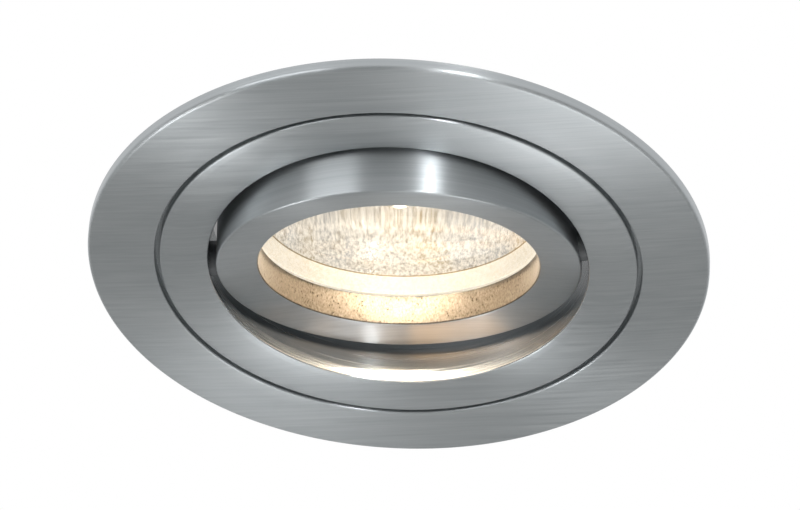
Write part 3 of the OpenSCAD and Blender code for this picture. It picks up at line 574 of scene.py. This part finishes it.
outside = [RIM_TOP + (BOWL_BACK - RIM_TOP) * i / BOWL_STEPS for i in range(BOWL_STEPS + 1)]
inside = [BOWL_FLOOR + (BOWL_START - BOWL_FLOOR) * i / BOWL_STEPS for i in range(BOWL_STEPS + 1)]
inside = sorted(inside + [BAND_TOP, BAND_TOP + BAND_LINE], reverse=True)
reflector = turned("lamp_reflector_coated", (
    [(GLASS_R, SEAT)]
    + arc(LAMP_R - GLASS_EDGE, SEAT + GLASS_EDGE, GLASS_EDGE, -90, 0)
    + [(LAMP_R, RIM_TOP)]
    + [(bowl_radius(h), h) for h in outside]
    + [(THROAT_R, BOWL_BACK), (THROAT_R, BOWL_FLOOR)]
    + [(min(bowl_radius(h) - BOWL_WALL, GLASS_R - GLASS_STEP), h) for h in inside]
    + [(GLASS_R, BOWL_START)]), steps=240)


def coated_glass(name, tones, shine, painted_glow, rough, dimple_mm, relief_mm, metallic):
    """Thin-film coated glass: flecks of three tones over dimples, glowing with painted lamp light.

    shine is the share of the tones that it mirrors; painted_glow is the strength of their painted
    light.
    """
    finish = bpy.data.materials.new(name)
    finish.use_nodes = True
    tree = finish.node_tree
    surface = tree.nodes["Principled BSDF"]
    surface.inputs["Metallic"].default_value = metallic
    surface.inputs["Roughness"].default_value = rough
    place = add_node(tree, "ShaderNodeTexCoord").outputs["Object"]
    dimple = add_node(tree, "ShaderNodeTexVoronoi", {
        "Vector": place, "Scale": 1 / (dimple_mm * MM)}, feature="F1").outputs["Distance"]
    fleck = add_node(tree, "ShaderNodeTexNoise", {
        "Vector": place, "Scale": 0.9 / (dimple_mm * MM), "Detail": 4.0,
        "Roughness": 0.75}).outputs["Fac"]
    cloud = add_node(tree, "ShaderNodeTexNoise", {
        "Vector": place, "Scale": 160.0, "Detail": 3.0}).outputs["Fac"]
    sharp = add_node(tree, "ShaderNodeMapRange", {
        "Value": fleck, "From Min": 0.36, "From Max": 0.58}).outputs[0]
    patch = add_node(tree, "ShaderNodeMapRange", {
        "Value": cloud, "From Min": 0.35, "From Max": 0.65}).outputs[0]
    first = add_node(tree, "ShaderNodeMix", {
        0: patch, 6: linear(tones[0]), 7: linear(tones[1])}, data_type="RGBA").outputs[2]
    colour = add_node(tree, "ShaderNodeMix", {
        0: sharp, 6: first, 7: linear(tones[2])}, data_type="RGBA").outputs[2]
    relief = add_node(tree, "ShaderNodeBump", {
        "Height": dimple, "Strength": 0.6, "Distance": relief_mm * MM}).outputs[0]
    mirrored = add_node(tree, "ShaderNodeVectorMath", {
        0: colour, "Scale": shine}, operation="SCALE").outputs[0]
    tree.links.new(mirrored, surface.inputs["Base Color"])
    tree.links.new(colour, surface.inputs["Emission Color"])
    surface.inputs["Emission Strength"].default_value = painted_glow
    tree.links.new(relief, surface.inputs["Normal"])
    return finish


# Inside, the coating is nearly white, with sparse gold and violet-grey flecks and painted lamp
# glow.
bowl_inside = coated_glass("dichroic_coating_dimpled_painted_glow", ("#bda882", "#adabab", "#fffaf3"),
                           0.07, 0.95, 0.33, 0.45, 0.04, 1.0)
# Outside, it is a smooth dark violet, with a faint painted glow for the lamp light that comes
# through.
bowl_outside = coated_glass("dichroic_coating_smooth_painted_glow", ("#51495c", "#595060", "#635b70"),
                            1.0, 0.05, 0.15, 3.0, 0.02, 0.6)
# Round the rim the glass and its cement glow cream with painted lamp light, above the thin edge of
# the coating, which glows too.
rim_cement = coated_glass("rim_cement_painted_glow", ("#f1e6d0", "#f9f1e2", "#fffaf3"),
                          0.15, 0.8, 0.42, 0.5, 0.02, 1.0)
band_line = coated_glass("coating_edge_line_painted_glow", ("#8f7a55", "#9a8b74", "#b7a47f"),
                         0.15, 0.8, 0.35, 0.45, 0.02, 1.0)
INSIDE, OUTSIDE, RIM, EDGE_LINE = range(4)
for finish in (bowl_inside, bowl_outside, rim_cement, band_line):
    reflector.data.materials.append(finish)
# Faces round the rim and low in the bowl take the painted glow.
for polygon in reflector.data.polygons:
    middle = polygon.center
    radius = math.hypot(middle.x, middle.y) / MM
    height = middle.z / MM
    if radius < GLASS_R + NEAR / 2 and SEAT + NEAR < height < BOWL_START + NEAR / 2:
        polygon.material_index = RIM
    elif radius < bowl_radius(max(height, RIM_TOP)) - BOWL_WALL / 2:
        polygon.material_index = (
            RIM if height < BAND_TOP else EDGE_LINE if height < BAND_TOP + BAND_LINE else INSIDE)
    else:
        polygon.material_index = OUTSIDE
tilt_into_place(reflector)
smooth(reflector)
join_frame(reflector, "gimbal", "dichroic_reflector", "lamp_reflector")

# ---- Halogen capsule, filament and lead wires
# A small quartz bulb in the bowl's throat, with a tungsten coil along its axis between two nickel
# leads. The coil is white hot, and the whole bulb glares with it.
LIGHT_HEIGHT = 17
FLAME_R = 3.5
BEAM_HEIGHT = 1.9
BEAM_D = 43
SPILL_R = 27
SPILL_Z = -1.6
SPILL_LEAN = math.radians(22)
SPILL_WIDTH = 12
SPILL_DEPTH = 3

# Clear quartz that glows with the coil inside it.
quartz = bpy.data.materials.new("quartz_glass_lit")
quartz.use_nodes = True
surface = quartz.node_tree.nodes["Principled BSDF"]
surface.inputs["Base Color"].default_value = linear("#fff4e0")
surface.inputs["Roughness"].default_value = 0.1
surface.inputs["Transmission Weight"].default_value = 0.6
surface.inputs["Emission Color"].default_value = linear("#fff2dd")
surface.inputs["Emission Strength"].default_value = 4.0
dress(quartz, "halogen_capsule")
# White-hot tungsten, the brightest thing in the bowl.
tungsten = bpy.data.materials.new("tungsten_white_hot")
tungsten.use_nodes = True
surface = tungsten.node_tree.nodes["Principled BSDF"]
surface.inputs["Base Color"].default_value = linear("#4a4643")
surface.inputs["Metallic"].default_value = 1.0
surface.inputs["Emission Color"].default_value = linear("#ffd9a0")
surface.inputs["Emission Strength"].default_value = 30.0
dress(tungsten, "filament")
# Drawn nickel wire: a warm grey, with a faint grain.
nickel_wire = grained("nickel_wire_drawn", "#8d8c88", "#a9a7a1", (0.25, 0.4), 0.2, 0.005,
                      metallic=1.0)
dress(nickel_wire, "lead_wires")


def on_lamp_axis(height):
    """A point on the lamp's axis, at this height above the pivots."""
    return Vector((0, 0, PIVOT_Z * MM)) + lamp_axis * height * MM


bpy.ops.object.light_add(type="POINT", location=on_lamp_axis(LIGHT_HEIGHT))
lamp_light = bpy.context.object
lamp_light.name = "lamp_light"
lamp_light.data.color = linear("#fff4e4")[:3]
lamp_light.data.energy = 0.3
lamp_light.data.shadow_soft_size = FLAME_R * MM
lamp_light.visible_camera = False
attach(lamp_light, "gimbal")
for name in ("halogen_capsule", "filament", "lead_wires"):
    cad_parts[name].visible_shadow = False


def area_lamp(name, location, rotation, width, depth, watts, colour="#ffffff"):
    """A flat lamp that lights but isn't seen."""
    bpy.ops.object.light_add(type="AREA", location=location, rotation=rotation)
    made = bpy.context.object
    made.name = name
    made.data.shape = "RECTANGLE"
    made.data.size = width * MM
    made.data.size_y = depth * MM
    made.data.color = linear(colour)[:3]
    made.data.energy = watts
    made.visible_camera = False
    return made


# The bowl throws far more light forward than its own flecks show, through the whole front glass.
beam_light = area_lamp(
    "lamp_beam", on_lamp_axis(BEAM_HEIGHT), (TILT, 0, 0), BEAM_D, BEAM_D, 0.011, "#ffe8ca")
beam_light.data.shape = "DISK"
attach(beam_light, "gimbal")

# The swivel ring's wall throws some of it back on the gimbal ring's face, warm from the metal. Five
# small lamps round the lit part of the wall stand for that.
for azimuth, watts in ((-38, 0.00004), (-20, 0.0001), (-5, 0.00014), (8, 0.0004), (20, 0.00004)):
    a = math.radians(azimuth)
    spill_light = area_lamp(
        "lamp_spill", Vector((SPILL_R * math.sin(a), SPILL_R * math.cos(a), SPILL_Z)) * MM,
        (math.pi - SPILL_LEAN, 0, -a), SPILL_WIDTH, SPILL_DEPTH, watts, "#ffc486")
    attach(spill_light, "gimbal")

# ---- Front glass
# A clear disc of pressed glass cemented to the bowl's rim, with softly rounded edges. The lamp's
# light goes straight through it.
GLASS_LOW = 2.35
GLASS_HIGH = 3.95
GLASS_BACK_EDGE = 0.3

glass = turned("lamp_front_glass_clear", (
    arc(GLASS_R - GLASS_EDGE, GLASS_LOW + GLASS_EDGE, GLASS_EDGE, -90, 0)
    + arc(GLASS_R - GLASS_BACK_EDGE, GLASS_HIGH - GLASS_BACK_EDGE, GLASS_BACK_EDGE, 0, 90)),
    steps=180, close="fill")
tilt_into_place(glass)
smooth(glass)
# Clear pressed glass, with the slightest warm tint.
clear_glass = bpy.data.materials.new("glass_clear_pressed")
clear_glass.use_nodes = True
surface = clear_glass.node_tree.nodes["Principled BSDF"]
surface.inputs["Base Color"].default_value = linear("#fdfaf2")
surface.inputs["Roughness"].default_value = 0.02
surface.inputs["Transmission Weight"].default_value = 1.0
glass.data.materials.append(clear_glass)
glass.visible_shadow = False
join_frame(glass, "gimbal", "clear_glass", "lamp_front_glass")

# ---- Lamp base and pins
# The back of the lamp: a block of fired steatite cemented to the bowl, with two plated steel pins
# whose thick heads lock in the lampholder.

# Unglazed fired steatite: matt cream, with faint cloudy patches.
steatite = grained("steatite_fired", "#cfc9ba", "#e2ddd0", (0.5, 0.7), 0.7, 0.02)
dress(steatite, "lamp_base")
dress(zinc_plate, "lamp_pins")

# ---- Lampholder
# A steatite body that is turned on the lamp's pins, with brass contacts and screw terminals under a
# screwed-on steatite cover.
dress(steatite, "holder_body", "holder_cover")
# Stamped brass strip: warm yellow, with a slight drawn grain.
contact_brass = grained("brass_stamped", "#a58343", "#c9a763", (0.25, 0.4), 0.5, 0.01,
                        metallic=1.0)
dress(contact_brass, "holder_contacts")
dress(zinc_plate, "terminal_screws", "cover_screws")

# ---- Room
# A thin white ceiling board round the fitting, open where the neck goes up. It is seen from below
# alone, so the fitting's back shows from above. The pale floor is a storey down.
BOARD_HOLE_R = 41.4
BOARD_R = 400
BOARD_FACE = 0.05
FLOOR = -2400
FLOOR_WIDTH = 60000

board = turned("ceiling_board", [(BOARD_HOLE_R, BOARD_FACE), (BOARD_R, BOARD_FACE)],
               steps=128, close="")
if board.data.polygons[0].normal.z > 0:
    bpy.ops.object.mode_set(mode="EDIT")
    bpy.ops.mesh.flip_normals()
    bpy.ops.object.mode_set(mode="OBJECT")
# Matt white paint, which the camera and the polished parts see as plain white.
board_white = bpy.data.materials.new("plasterboard_painted")
board_white.use_nodes = True
tree = board_white.node_tree
paint = tree.nodes["Principled BSDF"]
paint.inputs["Base Color"].default_value = linear("#f2f2f0")
paint.inputs["Roughness"].default_value = 0.9
ray = add_node(tree, "ShaderNodeLightPath").outputs
seen = add_node(tree, "ShaderNodeMath", {
    0: ray["Is Camera Ray"], 1: ray["Is Glossy Ray"]}, operation="MAXIMUM").outputs[0]
white = add_node(tree, "ShaderNodeEmission", {"Color": (1, 1, 1, 1), "Strength": 1.0})
front = add_node(tree, "ShaderNodeMixShader", {0: seen, 1: paint.outputs[0], 2: white.outputs[0]})
behind = add_node(tree, "ShaderNodeNewGeometry").outputs["Backfacing"]
clear = add_node(tree, "ShaderNodeBsdfTransparent")
one_sided = add_node(tree, "ShaderNodeMixShader", {
    0: behind, 1: front.outputs[0], 2: clear.outputs[0]})
tree.links.new(one_sided.outputs[0], tree.nodes["Material Output"].inputs["Surface"])
board.data.materials.append(board_white)

bpy.ops.object.select_all(action="DESELECT")
bpy.ops.mesh.primitive_plane_add(size=FLOOR_WIDTH * MM, location=(0, 0, FLOOR * MM))
floor = bpy.context.object
floor.name = "floor"
floor_finish = grained("floor_screed_pale", "#dcdcda", "#e4e4e2", (0.7, 0.85), 30, 0.1)
tree = floor_finish.node_tree
seen = add_node(tree, "ShaderNodeLightPath").outputs["Is Camera Ray"]
pale = add_node(tree, "ShaderNodeEmission", {"Color": linear("#f1f1ef"), "Strength": 1.0})
paler = add_node(tree, "ShaderNodeMixShader", {
    0: seen, 1: tree.nodes["Principled BSDF"].outputs[0], 2: pale.outputs[0]})
tree.links.new(paler.outputs[0], tree.nodes["Material Output"].inputs["Surface"])
floor.data.materials.append(floor_finish)

# A pale even room, which lights the fitting at 0.55. The camera and shiny or clear parts see it as
# white below, and dim above the ceiling.
world = bpy.data.worlds.new("studio")
bpy.context.scene.world = world
world.use_nodes = True
tree = world.node_tree
ray = add_node(tree, "ShaderNodeLightPath").outputs
seen = add_node(tree, "ShaderNodeMath", {
    0: ray["Is Camera Ray"], 1: ray["Is Glossy Ray"]}, operation="MAXIMUM").outputs[0]
seen = add_node(tree, "ShaderNodeMath", {
    0: seen, 1: ray["Is Transmission Ray"]}, operation="MAXIMUM").outputs[0]
height = add_node(tree, "ShaderNodeSeparateXYZ", {
    "Vector": add_node(tree, "ShaderNodeTexCoord").outputs["Generated"]}).outputs["Z"]
void = add_node(tree, "ShaderNodeMapRange", {
    "Value": height, "From Min": 0.3, "From Max": 0.45, "To Min": 1.0, "To Max": 0.28}).outputs[0]
strength = add_node(tree, "ShaderNodeMix", {
    0: seen, 2: 0.55, 3: void}, data_type="FLOAT").outputs[0]
tree.links.new(strength, tree.nodes["Background"].inputs["Strength"])
tree.nodes["Background"].inputs["Color"].default_value = (1, 1, 1, 1)


def soft_lamp(name, azimuth, elevation, distance, width, height, watts):
    """A rectangular studio lamp that faces the fitting, placed by its direction and distance."""
    a, e = math.radians(azimuth), math.radians(elevation)
    direction = Vector((math.sin(a) * math.cos(e), -math.cos(a) * math.cos(e), math.sin(e)))
    area_lamp(name, direction * distance * MM, direction.to_track_quat("Z", "Y").to_euler(),
              width, height, watts)


soft_lamp("lamp_below", 158, -62, 1500, 500, 500, 4.0)
soft_lamp("lamp_below_left", 248, -53, 1500, 200, 200, 4.0)
soft_lamp("lamp_left", -33, -12, 1300, 720, 500, 3.4)
soft_lamp("lamp_strip", 26, -20, 900, 30, 700, 3.0)
soft_lamp("lamp_above", 300, 60, 1500, 1200, 1200, 10.0)

bpy.context.scene.view_settings.view_transform = "Standard"
